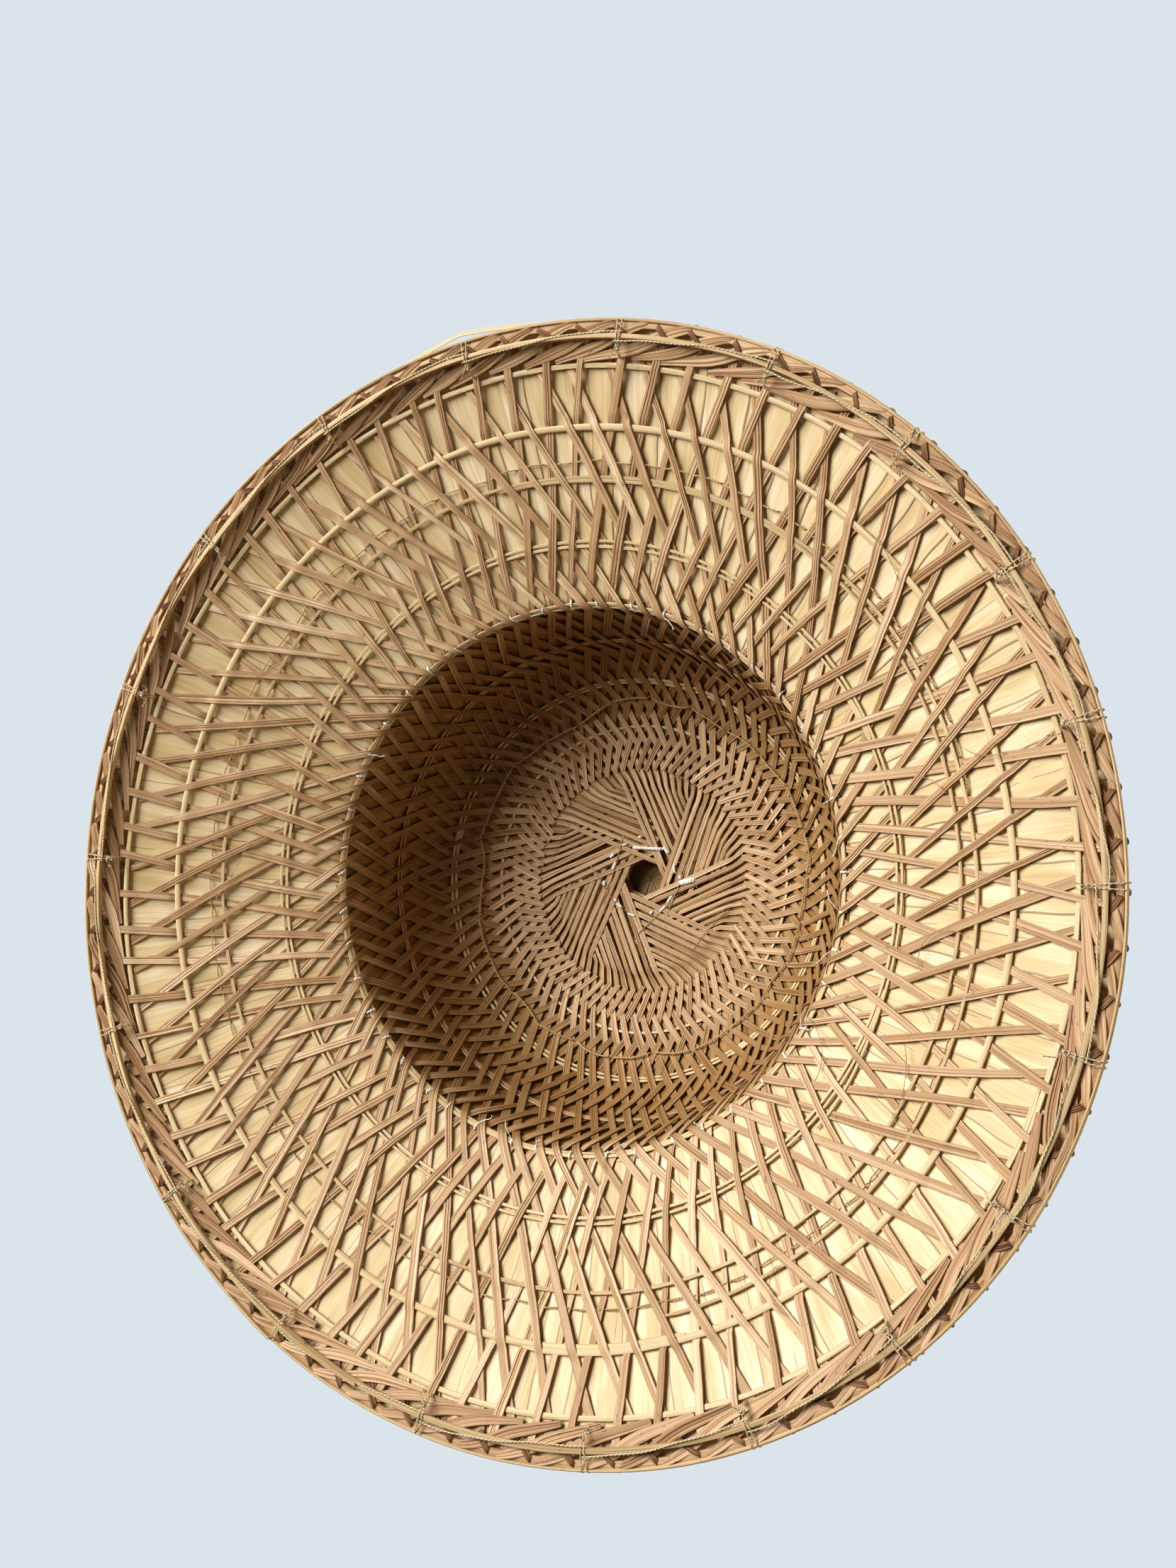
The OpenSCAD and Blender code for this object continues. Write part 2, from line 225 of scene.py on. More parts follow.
# Hoops that run between the two families of splints
BRIM_HOOPS = ["edge_hoop", "outer_brim_hoop", "thin_brim_hoop", "double_brim_hoop"]
CROWN_HOOPS = ["mouth_ring", "low_crown_hoop", "middle_crown_hoop", "top_crown_hoop"]
HOOP_S = {node: s_of_ring(node) for node in BRIM_HOOPS + CROWN_HOOPS}


# -------- meshes


def new_object(name, data):
    made = bpy.data.objects.new(name, data)
    bpy.context.scene.collection.objects.link(made)
    return made


class Parts:
    """Closed strips, tubes and sheets that together make one piece."""

    def __init__(self):
        self.points = []
        self.faces = []
        self.paint = []
        self.count = 0

    def add(self, points, faces, across, along, tone):
        shift = self.count
        self.points.append(points)
        self.paint.append(np.stack([across, along, np.full(len(points), tone)], 1))
        self.faces.extend([shift + corner for corner in face] for face in faces)
        self.count += len(points)

    def strip(self, centre, facing, width, thickness, profile, tone):
        """Sweeps a cross-section along centre; its crowned side looks along facing."""
        tangent = np.gradient(centre, axis=0)
        tangent /= np.linalg.norm(tangent, axis=1)[:, None]
        side = np.cross(tangent, facing)
        side /= np.linalg.norm(side, axis=1)[:, None]
        up = np.cross(side, tangent)
        rows, columns = len(centre), len(profile)
        width = np.broadcast_to(width, rows)[:, None, None]
        thickness = np.broadcast_to(thickness, rows)[:, None, None]
        points = (
            centre[:, None, :]
            + side[:, None, :] * profile[None, :, :1] * width / 2
            + up[:, None, :] * profile[None, :, 1:] * thickness / 2
        )
        along = np.concatenate([[0], np.cumsum(np.linalg.norm(np.diff(centre, axis=0), axis=1))])
        index = np.arange(rows * columns).reshape(rows, columns)
        after = np.roll(index, -1, axis=1)
        quads = np.stack([index[:-1], after[:-1], after[1:], index[1:]], -1).reshape(-1, 4)
        faces = quads.tolist() + [index[0, ::-1].tolist(), index[-1].tolist()]
        across = np.tile(profile[:, 0], rows)
        self.add(points.reshape(-1, 3), faces, across, np.repeat(along, columns), tone)

    def sheet(self, centre, normals, thickness, across, along, tone):
        """A thin closed sheet over a grid of points."""
        rows, columns = centre.shape[:2]
        front = centre + normals * thickness / 2
        back = centre - normals * thickness / 2
        points = np.concatenate([front.reshape(-1, 3), back.reshape(-1, 3)])
        index = np.arange(rows * columns).reshape(rows, columns)
        top = np.stack([index[:-1, :-1], index[:-1, 1:], index[1:, 1:], index[1:, :-1]], -1).reshape(-1, 4)
        bottom = top[:, ::-1] + rows * columns
        border = np.concatenate([index[0, :-1], index[:-1, -1], index[-1, :0:-1], index[:0:-1, 0]])
        after = np.roll(border, -1)
        low = rows * columns
        walls = np.stack([after, border, border + low, after + low], -1)
        faces = top.tolist() + bottom.tolist() + walls.tolist()
        self.add(points, faces, np.tile(across.ravel(), 2), np.tile(along.ravel(), 2), tone)

    def piece(self, name, material, slot, *nodes):
        """Makes the Blender object, and puts it in place of its CAD nodes."""
        mesh = bpy.data.meshes.new(name)
        points = np.concatenate(self.points)
        mesh.from_pydata(points.tolist(), [], self.faces)
        paint = np.concatenate(self.paint).astype(np.float32)
        for column, label in enumerate(("across", "along", "tone")):
            attribute = mesh.attributes.new(label, "FLOAT", "POINT")
            attribute.data.foreach_set("value", np.ascontiguousarray(paint[:, column]))
        mesh.materials.append(material)
        mesh.polygons.foreach_set("use_smooth", np.ones(len(mesh.polygons), bool))
        mesh.update()
        mesh.set_sharp_from_angle(angle=50 * DEG)
        made = new_object(name, mesh)
        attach(made, BODY)
        if nodes:
            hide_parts(*nodes)


# Cross-sections of a thread or twine, and of a flat bamboo hoop, a little crowned
ROUND_ANGLES = np.linspace(math.pi, -math.pi, 6, endpoint=False)
ROUND = np.stack([np.cos(ROUND_ANGLES), np.sin(ROUND_ANGLES)], 1)
FLAT = np.array([(-1, 0), (-0.8, 0.8), (0, 1), (0.8, 0.8), (1, 0), (0.8, -0.8), (-0.8, -0.8)])


def split_profile(rng):
    """Cross-section of a splint: crowned, with two grooves where the fibres part."""
    first = rng.uniform(-0.5, -0.2)
    second = rng.uniform(0.1, 0.5)
    depth = 1.5 if rng.uniform() < 0.25 else rng.uniform(0.1, 0.8)
    return np.array([
        (-1, 0), (-0.93, 0.84),
        (first - 0.13, 0.96), (first, 0.9 - depth), (first + 0.13, 0.96),
        (second - 0.12, 1), (second, 0.92 - depth * rng.uniform(0.3, 1.2)), (second + 0.12, 0.96),
        (0.93, 0.82), (1, 0), (0.88, -1), (-0.88, -1),
    ])


def wander(rng, where, lengths, size):
    """A smooth random offset along a path, made of a few waves."""
    total = np.zeros(len(where))
    for length in lengths:
        total += rng.uniform(0.4, 1) * np.sin(2 * math.pi * where / length + rng.uniform(0, 2 * math.pi))
    return total * size / len(lengths)


# -------- the two lattices


def halfway(near_s):
    """The place nearest to near_s that lies halfway between two circles of crossings."""
    both = TURN[1] + TURN[-1]
    first = START[-1] - START[1] + PITCH / 2
    steps = round((float(np.interp(near_s, S, both)) - first) / PITCH)
    return float(np.interp(first + steps * PITCH, both, S))


# Each family passes over a hoop and under the other family between hoops: the shares of the way
# from one hoop to another at which the families change over
SWAP_SHARES = {
    ("edge_hoop", "outer_brim_hoop"): [0.36],
    ("thin_brim_hoop", "double_brim_hoop"): [0.54],
    ("double_brim_hoop", "mouth_ring"): [0.45],
    ("mouth_ring", "low_crown_hoop"): [0.1, 0.68],
    ("low_crown_hoop", "middle_crown_hoop"): [0.29, 0.74],
    ("middle_crown_hoop", "top_crown_hoop"): [0.3, 0.72, 1.3],
}
SWAPS = [
    halfway(HOOP_S[a] * (1 - share) + HOOP_S[b] * share)
    for (a, b), shares in SWAP_SHARES.items()
    for share in shares
]
SWAP_REACH = 1.8 * MM


def hoop_nearness(s):
    """1 at a hoop, and 0 away from it."""
    nearest = np.min([np.abs(s - place) for place in HOOP_S.values()], axis=0)
    return 1 - smoothstep(0, HOOP_REACH, nearest)


def family_side(s):
    """1 where the right-hand family is on the outside, as at the rim, and -1 where it is on the inside."""
    side = np.ones(len(s))
    for place in SWAPS:
        side *= 1 - 2 * smoothstep(place - SWAP_REACH, place + SWAP_REACH, s)
    return side


def layer_lift(s, sense):
    """Lift of a family: near a hoop the two families stand further apart."""
    reach = CROSSING_LIFT + HOOP_LIFT * hoop_nearness(s)
    return sense * family_side(s) * reach


def star_path(rng, number):
    """Path of a right-hand splint across the star: a chord that dips under the next bundle."""
    bundle, place = divmod(number - STAR_SHIFT, PER_BUNDLE)
    start = STAR_START + place * PITCH
    distance = STAR_R * math.sin(start)
    tuck = STAR_TUCK * rng.uniform(0.3, 1)
    lean = rng.normal(0, STAR_LEAN)
    cover = distance - HOLE_R * math.sqrt(2)
    x = np.arange(STAR_R * math.cos(start) - STAR_STEP, cover - tuck, -STAR_STEP)
    y = distance + lean * (1 - x / x[0])
    angle = np.arctan2(y, x) + (bundle * PER_BUNDLE + STAR_SHIFT) * PITCH
    under = 1 - smoothstep(cover - 0.5 * MM, cover + 3.5 * MM, x)
    return s_at_radius(np.hypot(x, y)), angle, under


def star_run(rng, number, layer, facing, full_width):
    """A splint across the star: its places, angles, lifts and widths."""
    s, angle, under = star_path(rng, number)
    lift = layer + facing * ((1 - under * 1.25) * STAR_RISE + rng.uniform(0, 0.3) * MM)
    gap = STAR_R * PITCH * math.cos(STAR_START + (number - STAR_SHIFT) % PER_BUNDLE * PITCH)
    width = min(full_width, gap * rng.uniform(0.55, 0.82))
    return s, angle, lift, np.full(len(s), width)


# How far a splint strays sideways, in millimetres, at a few radii in metres
STRAY_R = [0.043, 0.06, 0.09, 0.12, 0.2]
STRAY = [0.0, 0.9, 1.9, 2.8, 3.4]


def lattice_run(rng, number, sense, layer, facing):
    """A splint from the rim to the star: its places, angles, lifts and widths, and its full width."""
    start_s = s_at_radius(SPLINT_START_R)
    end_s = STAR_S if sense > 0 else s_at_radius(LEFT_END_R)
    s = np.arange(start_s + rng.uniform(-1.5, 1) * MM, end_s, SPLINT_STEP)
    stray = wander(rng, s, (0.42, 0.21, 0.11), 1) * np.interp(radius(s), STRAY_R, STRAY) * MM
    angle = START[sense] + number * PITCH + sense * turn(s, sense) + stray / radius(s)
    near_star = smoothstep(STAR_S - 3 * MM, STAR_S, s)
    lift = layer + layer_lift(s, sense) * (1 - near_star) + facing * sense * 0.3 * MM * near_star
    full_width = SPLINT_W * rng.uniform(0.72, 1.06)
    gap = radius(s) * PITCH * np.cos(np.interp(s, S, SLANT[sense]))
    uneven = full_width * (1 + wander(rng, s, (0.13, 0.05), 0.12))
    width = np.minimum(uneven, rng.uniform(0.5, 0.7) * gap)
    return s, angle, lift, width, full_width


def family(name, material, slot, nodes, sense, layer, facing, seed):
    """One family of splints of one lattice, in two pieces; the right-hand family also forms the star."""
    rng = np.random.default_rng(seed)
    halves = [Parts(), Parts()]
    for number in range(SPLINTS):
        *run, full_width = lattice_run(rng, number, sense, layer, facing)
        if sense > 0:
            across_star = star_run(rng, number, layer, facing, full_width)
            run = [np.concatenate(pair) for pair in zip(run, across_star)]
        s, angle, lift, width = run
        lift = lift + wander(rng, s, (0.05, 0.023), 0.12 * MM)
        centre, normals = surface(s, angle, lift)
        profile = split_profile(rng)
        halves[number % 2].strip(centre, facing * normals, width, SPLINT_T, profile, rng.random())
    halves[0].piece(name + "_fine", material, slot, *nodes)
    halves[1].piece(name + "_odd_fine", material, slot)


# For each family: slot, CAD nodes it takes the place of, sense, layer, way it faces, seed
FAMILIES = {
    "inner_splints_right": ("inner_splint", ["inner_splints_right", "inner_star"], 1, INNER_LAYER, -1, 1),
    "inner_splints_left": ("inner_splint", ["inner_splints_left"], -1, INNER_LAYER, -1, 2),
    "outer_splints_right": ("outer_splint", ["outer_splints_right", "outer_star"], 1, OUTER_LAYER, 1, 3),
    "outer_splints_left": ("outer_splint", ["outer_splints_left"], -1, OUTER_LAYER, 1, 4),
}


def lattices(materials):
    for name, (slot, *settings) in FAMILIES.items():
        family(name, materials[slot], slot, *settings)


# -------- leaves


def leaf_fan(parts, rng, count, s_low, s_high, rows, overlap, skew, lift, step):
    """Overlapping leaves side by side round the hat, each with one edge nearer the wearer."""
    pitch = 2 * math.pi / count
    for number in range(count):
        across, share = np.meshgrid(np.linspace(-1, 1, LEAF_COLUMNS), np.linspace(0, 1, rows))
        s = s_low + (s_high - s_low) * share
        middle = (number + rng.uniform(-0.14, 0.14)) * pitch
        half = pitch * (0.5 + overlap * rng.uniform(0.7, 1.3))
        ripple = wander(rng, share[:, 0], (1.3, 0.45, 0.17), 0.05 * pitch)[:, None]
        tilt = rng.normal(0, skew) * (share - 0.5)
        angle = middle + across * half + tilt + ripple * (0.4 + 0.6 * np.abs(across))
        bow = wander(rng, share[:, 0], (0.9, 0.3), 0.12 * MM)[:, None] * np.abs(across)
        rise = lift - across * step / 2 + bow
        centre, normals = surface(s, angle, rise)
        parts.sheet(centre, -normals, LEAF_T, across, s, rng.random())


def leaves(materials):
    rng = np.random.default_rng(11)
    brim = Parts()
    edge_s = s_at_radius(RIM_R - 1.8 * MM)
    brim_end = MOUTH_S + 3 * MM
    leaf_fan(brim, rng, BRIM_LEAVES, edge_s, brim_end, 44, 0.46, 2.2 * DEG, LEAF_LAYER, 0.4 * MM)
    brim.piece("brim_leaves_fine", materials["leaf"], "leaf", "brim_leaves")
    # The crown's and roof's leaves take a darker copy of the brim's leaf colours: painted shade for the
    # crown's hollow
    crown = Parts()
    crown_start = MOUTH_S - 3 * MM
    crown_end = s_at_radius(34 * MM)
    leaf_fan(crown, rng, CROWN_LEAVES, crown_start, crown_end, 46, 0.42, 4 * DEG, LEAF_LAYER, 0.45 * MM)
    nodes = ["crown_wall_leaves", "crown_shoulder_leaves"]
    crown.piece("crown_leaves_fine", materials["shaded_crown_leaf"], "leaf", *nodes)
    roof = Parts()
    roof_start = s_at_radius(48 * MM)
    roof_end = s_at_radius(8 * MM)
    roof_layer = LEAF_LAYER + 0.7 * MM
    leaf_fan(roof, rng, ROOF_LEAVES, roof_start, roof_end, 14, 0.2, 9 * DEG, roof_layer, 0.5 * MM)
    roof.piece("roof_leaves_fine", materials["shaded_crown_leaf"], "leaf", "crown_roof_leaves")


# -------- hoops


def hoop(parts, rng, s, width, thickness, lift, facing, start, overlap, waves, flare=0.0):
    """A hoop bent from one strip, its two ends lying side by side; flare is how far one end strays."""
    angle = np.arange(start, start + 2 * math.pi + overlap, 0.7 * DEG)
    past_start = smoothstep(0, overlap * 1.2, angle - start)
    before_end = smoothstep(0, overlap * 1.2, angle[-1] - angle)
    aside = width * 0.55 * ((1 - past_start) - (1 - before_end)) - flare * (1 - before_end) ** 2
    drift = wander(rng, angle, (2 * math.pi, 1.7, 0.62), waves)
    bob = wander(rng, angle, (2 * PITCH, 5 * PITCH), 0.12 * MM)
    taper = np.minimum(smoothstep(-0.02, 0.05, angle - start), smoothstep(-0.02, 0.05, angle[-1] - angle))
    centre, normals = surface(s + aside + drift, angle, lift + bob)
    wide = width * (0.25 + 0.75 * taper) * (1 + wander(rng, angle, (1.1, 0.31), 0.12))
    parts.strip(centre, facing * normals, wide, thickness, FLAT, rng.random())


def hoops(materials):
    rng = np.random.default_rng(21)
    pale = materials["pale_hoop"]
    # For each strip: distance aside, width and drift in millimetres, start and overlap in degrees,
    # and flare in millimetres
    plans = {
        "edge_hoop": [(0, 1.9, 0.9, 20, 6, 0)],
        "outer_brim_hoop": [(0, 2.4, 0.8, 70, 22, 0)],
        "thin_brim_hoop": [(0, 1.4, 1, 262, 172, 9)],
        "double_brim_hoop": [(-1.1, 1.2, 0.8, 18, 24, 2), (0.9, 1.2, 0.6, 330, 9, 0)],
        "mouth_ring": [(-0.6, 1.6, 0.4, 200, 12, 0), (1.2, 1.2, 0.4, 20, 10, 0)],
        "low_crown_hoop": [(-0.8, 1.2, 0.5, 100, 8, 0), (0.8, 1.2, 0.5, 280, 8, 0)],
        "middle_crown_hoop": [(-0.9, 1.3, 0.5, 50, 8, 0), (0.9, 1.3, 0.5, 190, 8, 0)],
        "top_crown_hoop": [(0, 1.3, 0.6, 300, 10, 0)],
    }
    browner = {"thin_brim_hoop": materials["rim_hoop"], "low_crown_hoop": materials["rim_splint"]}
    for node, strips in plans.items():
        parts = Parts()
        for aside, width, drift, start, overlap, flare in strips:
            hoop(
                parts, rng, HOOP_S[node] + aside * MM, width * MM, HOOP_T, INNER_LAYER, -1,
                start * DEG, overlap * DEG, drift * MM, flare * MM,
            )
        parts.piece(node + "_fine", browner.get(node, pale), "pale_hoop", node)
    shells = {
        "outer_shell_brim_hoops": (BRIM_HOOPS, 2.2 * MM, 0.6 * MM),
        "outer_shell_crown_hoops": (CROWN_HOOPS, 2 * MM, 0.4 * MM),
    }
    for name, (nodes, width, drift) in shells.items():
        parts = Parts()
        for node in nodes:
            start = rng.uniform(0, 6)
            hoop(parts, rng, HOOP_S[node], width, HOOP_T, OUTER_LAYER, 1, start, 0.2, drift)
        parts.piece(name + "_fine", pale, "pale_hoop", name)


# -------- rim

TIE_START = 2 * DEG
TIE_STEP = 2 * math.pi / RIM_TIES
TIE_UNEVENNESS = 10 * DEG
DOWN = np.array([0.0, 0.0, -1.0])


def tie_angle(number):
    """Angle of a rim tie; the ties stand closer together on one side of the hat."""
    even = TIE_START + number * TIE_STEP
    return even - TIE_UNEVENNESS * math.sin(even)


def level_ring(r, z, angle):
    """Points at given radii, heights and angles."""
    r, z, angle = np.broadcast_arrays(r, z, angle)
    return np.stack([r * np.cos(angle), r * np.sin(angle), z], -1)


def level_hoop(parts, rng, r, z, width, thickness, start, overlap, drift):
    """A rim hoop, lying level, with its ends overlapping one above the other."""
    angle = np.arange(start, start + 2 * math.pi + overlap, 0.6 * DEG)
    end_lift = thickness * (smoothstep(0, overlap, angle - start) - smoothstep(0, overlap, angle[-1] - angle))
    wave = wander(rng, angle, (2.1, 0.9, 0.37), drift)
    bob = wander(rng, angle, (1.4, 0.33), 0.2 * MM)
    wide = width * (1 + wander(rng, angle, (1.9, 0.55), 0.16))
    centre = level_ring(r + wave, z + bob + end_lift * 0.5, angle)
    parts.strip(centre, DOWN, wide, thickness, FLAT, rng.random())


def rim_hoops(materials):
    rng = np.random.default_rng(31)
    inner = Parts()
    level_hoop(inner, rng, RIM_R - 6.1 * MM, 1.5 * MM, 1.9 * MM, 2 * MM, 1.9, 0.35, 0.4 * MM)
    inner.piece("rim_hoop_inner_fine", materials["rim_hoop"], "rim_splint", "rim_hoop_inner")
    outer = Parts()
    level_hoop(outer, rng, RIM_R - 0.2 * MM, 1.5 * MM, 1.2 * MM, 2.6 * MM, 2.1, 0.2, 0.15 * MM)
    outer.piece("rim_hoop_outer_fine", materials["rim_hoop"], "pale_hoop", "rim_hoop_outer")


def loose_rim_strip(materials):
    """A strip of the rim's edge that has sprung away from it."""
    rng = np.random.default_rng(35)
    parts = Parts()
    start, peak_place, end = 246, 263, 284
    angle = np.arange(start, end, 0.6)
    reach = np.where(angle < peak_place, 11, 14)
    bulge = np.clip(1 - np.abs(angle - peak_place) / reach, 0, 1) ** 1.2
    r = RIM_R + (4.2 * bulge - 0.2) * MM
    centre = level_ring(r, (3.4 - 1.2 * bulge) * MM, angle * DEG)
    parts.strip(centre, DOWN, 1.4 * MM, 0.5 * MM, split_profile(rng), 0.8)
    parts.piece("rim_loose_strip", materials["pale_hoop"], "pale_hoop")


def curve_through(points, steps):
    """A smooth curve through a few points."""
    points = np.asarray(points, float)
    padded = np.concatenate([[2 * points[0] - points[1]], points, [2 * points[-1] - points[-2]]])
    made = []
    for a, b, c, d in zip(padded, padded[1:], padded[2:], padded[3:]):
        square = 2 * a - 5 * b + 4 * c - d
        cube = 3 * b - a - 3 * c + d
        for t in np.linspace(0, 1, steps, endpoint=False):
            made.append(0.5 * (2 * b + (c - a) * t + square * t**2 + cube * t**3))
    made.append(points[-1])
    return np.array(made)


def rim_fold(parts, rng, start, route, width):
    """One splint end bent round the rim.

    Each place of its route says how far in from the rim, the lift, the angle and the share of the width.
    """
    inward, lift, angle, share = curve_through(route, 6).T
    centre, normals = surface(s_at_radius(RIM_R - inward * MM), start + angle * DEG, lift * MM)
    parts.strip(centre, -normals, width * share, 0.45 * MM, split_profile(rng), rng.random())


# Where the right-hand family's ends turn round the edge
FOLD_START = START[1] - 1.6 * DEG


def fold_band(materials):
    """Splint ends folded over the edge and laid back along the rim like shingles."""
    rng = np.random.default_rng(41)
    parts = Parts()
    for number in range(SPLINTS):
        start = FOLD_START + (number + rng.normal(0, 0.06)) * PITCH
        reach = rng.uniform(11, 13.5)
        low = rng.uniform(-0.12, 0.12)
        end = 12.2 - rng.uniform(0, 1.2)
        route = [
            (4.2, 4.2, 0.4, 0.6), (1.4, 3.0, 0.1, 0.6), (0.5, 1.0, 0, 0.6), (0.8, -1.0, -0.4, 0.6),
            (2.0, -1.6 + low, -1.8, 0.8), (4.4, -1.5 + low, -3.8, 1), (7.4, -1.3 + low, -5.8, 1),
            (9.6, -0.9 + low, -8.2, 0.9), (end, -0.5 + low, -reach, 0.5),
        ]
        rim_fold(parts, rng, start, route, rng.uniform(3.5, 4.5) * MM)
    level_hoop(parts, rng, RIM_R - 1.8 * MM, 2.2 * MM, 2.4 * MM, 1.8 * MM, 0.4, 0.2, 0.2 * MM)
    parts.piece("rim_fold_band_fine", materials["rim_splint"], "rim_splint", "rim_fold_band")


def hairpins(materials):
    """The steep side of each fold, where a splint comes out from behind the inner hoop."""
    rng = np.random.default_rng(43)
    parts = Parts()
    for number in range(SPLINTS):
        start = FOLD_START + (number + rng.normal(0, 0.05)) * PITCH
        lean = rng.uniform(0.7, 1.3)
        route = [
            (6.4, -0.9, 1.8 * lean, 0.8), (4.4, -1.8, 1.2 * lean, 1), (2.8, -2.0, 0.7 * lean, 1),
            (1.4, -1.5, 0.1, 0.9), (0.9, 0.7, -0.1, 0.8), (1.8, 3.2, -0.2, 0.9), (5, 4.3, -0.3, 1),
        ]
        rim_fold(parts, rng, start, route, rng.uniform(1.7, 2.3) * MM)
    # The hairpins take a darker copy of the rim splints' colours: painted shade for the band outside the
    # rim's inner hoop
    parts.piece("rim_hairpins_fine", materials["shaded_rim_loop"], "rim_splint")


def tube(parts, points, diameter, tone):
    """A thread or twine along smooth points; any direction across it will do for its round section."""
    points = np.asarray(points)
    across = DOWN + points * [2.1, 0.9, 0]
    parts.strip(points, across, diameter, diameter, ROUND, tone)


# Twine round the rim: millimetres in from the rim, height in millimetres, and share of the lean
TIE_SECTION = [
    (11.6, 3.6, 0), (9.4, 1.4, 0.1), (6.5, 0.3, 0.3), (3, 0.1, 0.6), (0.4, 0.3, 0.8), (-0.8, 2.4, 0.9),
    (0, 5.4, 0.8), (4.5, 8.4, 0.5), (10.5, 10.6, 0.2), (11.8, 7.5, 0), (11.6, 3.9, -0.1),
]


def rim_ties(materials):
    """Twine wound round the rim at each tie, with a knot and two frayed tails on the inside."""
    rng = np.random.default_rng(51)
    parts = Parts()
    for number in range(RIM_TIES):
        middle = tie_angle(number)
        for side in (-0.5, 0.5):
            skew = side * rng.uniform(0.12, 0.3) * DEG
            corners = [
                level_ring(RIM_R - inward * MM, z * MM, middle + skew * (1 + 2 * lean))
                for inward, z, lean in TIE_SECTION
            ]
            tube(parts, curve_through(corners, 5), 0.48 * MM, rng.random())
        knot = level_ring(RIM_R - 10.4 * MM, 1.4 * MM, middle)
        knot_ring(parts, rng, knot, 0.6 * MM, 0.45 * MM)
        for _ in range(2):
            tail(parts, rng, knot, rng.uniform(2, 5) * MM, 0.35 * MM)
    parts.piece("rim_ties_fine", materials["rim_twine"], "rim_twine", "rim_ties")


def knot_ring(parts, rng, place, size, diameter):
    """A small overhand lump of twine."""
    angle = np.linspace(0, 4.4 * math.pi, 44)
    wobble = 1 + 0.35 * np.sin(1.5 * angle + rng.uniform(0, 6))
    turned = rng.uniform(0, 6)
    height = size * 0.7 * np.sin(1.5 * angle) - size * 0.2
    local = level_ring(size * wobble, height, angle + turned)
    tube(parts, place + local, diameter, rng.random())


def tail(parts, rng, place, length, diameter):
    """A loose end of twine that curls away from a knot, on the inside of the hat."""
    away = -Vector((place[0], place[1], 0)).normalized()
    sideways = Vector((-away.y, away.x, 0)) * rng.uniform(-1.2, 1.2)
    heading = np.array((away * rng.uniform(0.2, 1) + sideways).normalized())
    points = [
        place,
        place + heading * length * 0.4 + [0, 0, -rng.random() * MM],
        place + heading * length * 0.75 + rng.normal(0, 0.6, 3) * MM,
        place + heading * length + rng.normal(0, 1, 3) * MM,
    ]
    tube(parts, curve_through(points, 6), diameter, rng.random())


def rim_twine(materials):
    """Twine that runs from each tie to the next, slanting across the rim hoop."""
    rng = np.random.default_rng(61)
    parts = Parts()
    for number in range(RIM_TIES):
        start, end = tie_angle(number), tie_angle(number + 1)
        share = np.linspace(-0.02, 1.02, 40)
        r = RIM_R - (8.1 - 3.4 * smoothstep(0.1, 0.95, share)) * MM + wander(rng, share, (1.1, 0.4), 0.5 * MM)
        z = 0.35 * MM - 0.1 * MM * np.sin(math.pi * np.clip(share, 0, 1))
        tube(parts, level_ring(r, z, start + share * (end - start)), 0.6 * MM, rng.random())
    parts.piece("rim_twine_fine", materials["rim_twine"], "rim_twine", "rim_twine")


# -------- threads


def running_stitch(parts, rng, s, stitches, sway, diameter, lift_high, lift_low):
    """One thread that runs round the hat, dipping through the leaves between stitches."""
    angle = np.linspace(0, 2 * math.pi, stitches * 12)
    phase = angle * stitches / (2 * math.pi)
    fraction = phase % 1
    number = phase.astype(int) % stitches
    begin = rng.normal(0, sway, stitches)
    middle = rng.normal(0, sway, stitches)
    aside = begin[number] * (1 - fraction) + np.roll(begin, -1)[number] * fraction
    aside = aside + middle[number] * np.sin(math.pi * fraction)
    up = smoothstep(0, 0.09, fraction) * smoothstep(1, 0.91, fraction)
    lift = lift_low + (lift_high - lift_low) * up
    centre, normals = surface(s + aside, angle, lift)
    parts.strip(centre, -normals, diameter, diameter, ROUND, 0.5)


def threads(materials):
    rng = np.random.default_rng(71)
    brim = Parts()
    brim_s = HOOP_S["outer_brim_hoop"] * 0.3 + HOOP_S["thin_brim_hoop"] * 0.7
    running_stitch(brim, rng, brim_s, BRIM_STITCHES, 0.5 * MM, 0.6 * MM, 0.05 * MM, 1.4 * MM)
    brim.piece("brim_stitches_fine", materials["tan_thread"], "tan_thread", "brim_stitches")
    crown = Parts()
    crown_s = HOOP_S["middle_crown_hoop"] * 0.52 + HOOP_S["top_crown_hoop"] * 0.48
    running_stitch(crown, rng, crown_s, CROWN_STITCHES, 1.5 * MM, 0.75 * MM, -1.7 * MM, 0.9 * MM)
    crown.piece("crown_stitches_fine", materials["tan_thread"], "tan_thread", "crown_stitches")


def mouth_ties(materials):
    """Short white threads that hold the splints to the mouth ring."""
    rng = np.random.default_rng(81)
    parts = Parts()
    for number in range(MOUTH_TIES):
        angle = (number + rng.uniform(-0.2, 0.2)) * 2 * math.pi / MOUTH_TIES
        run = rng.uniform(-0.6, 1.8) * DEG
        length = rng.uniform(1.8, 2.8) * MM
        share = np.linspace(-1, 1, 14)
        lift = -0.95 * MM + 2.6 * MM * np.abs(share) ** 5
        centre, normals = surface(MOUTH_S + share * length, angle + share * run / 2, lift)
        parts.strip(centre, -normals, 0.75 * MM, 0.5 * MM, ROUND, rng.random())
        if rng.uniform() < 0.3:
            tail(parts, rng, centre[7], rng.uniform(3, 9) * MM, 0.35 * MM)
    parts.piece("mouth_ties_fine", materials["white_thread"], "white_thread", "mouth_ties")


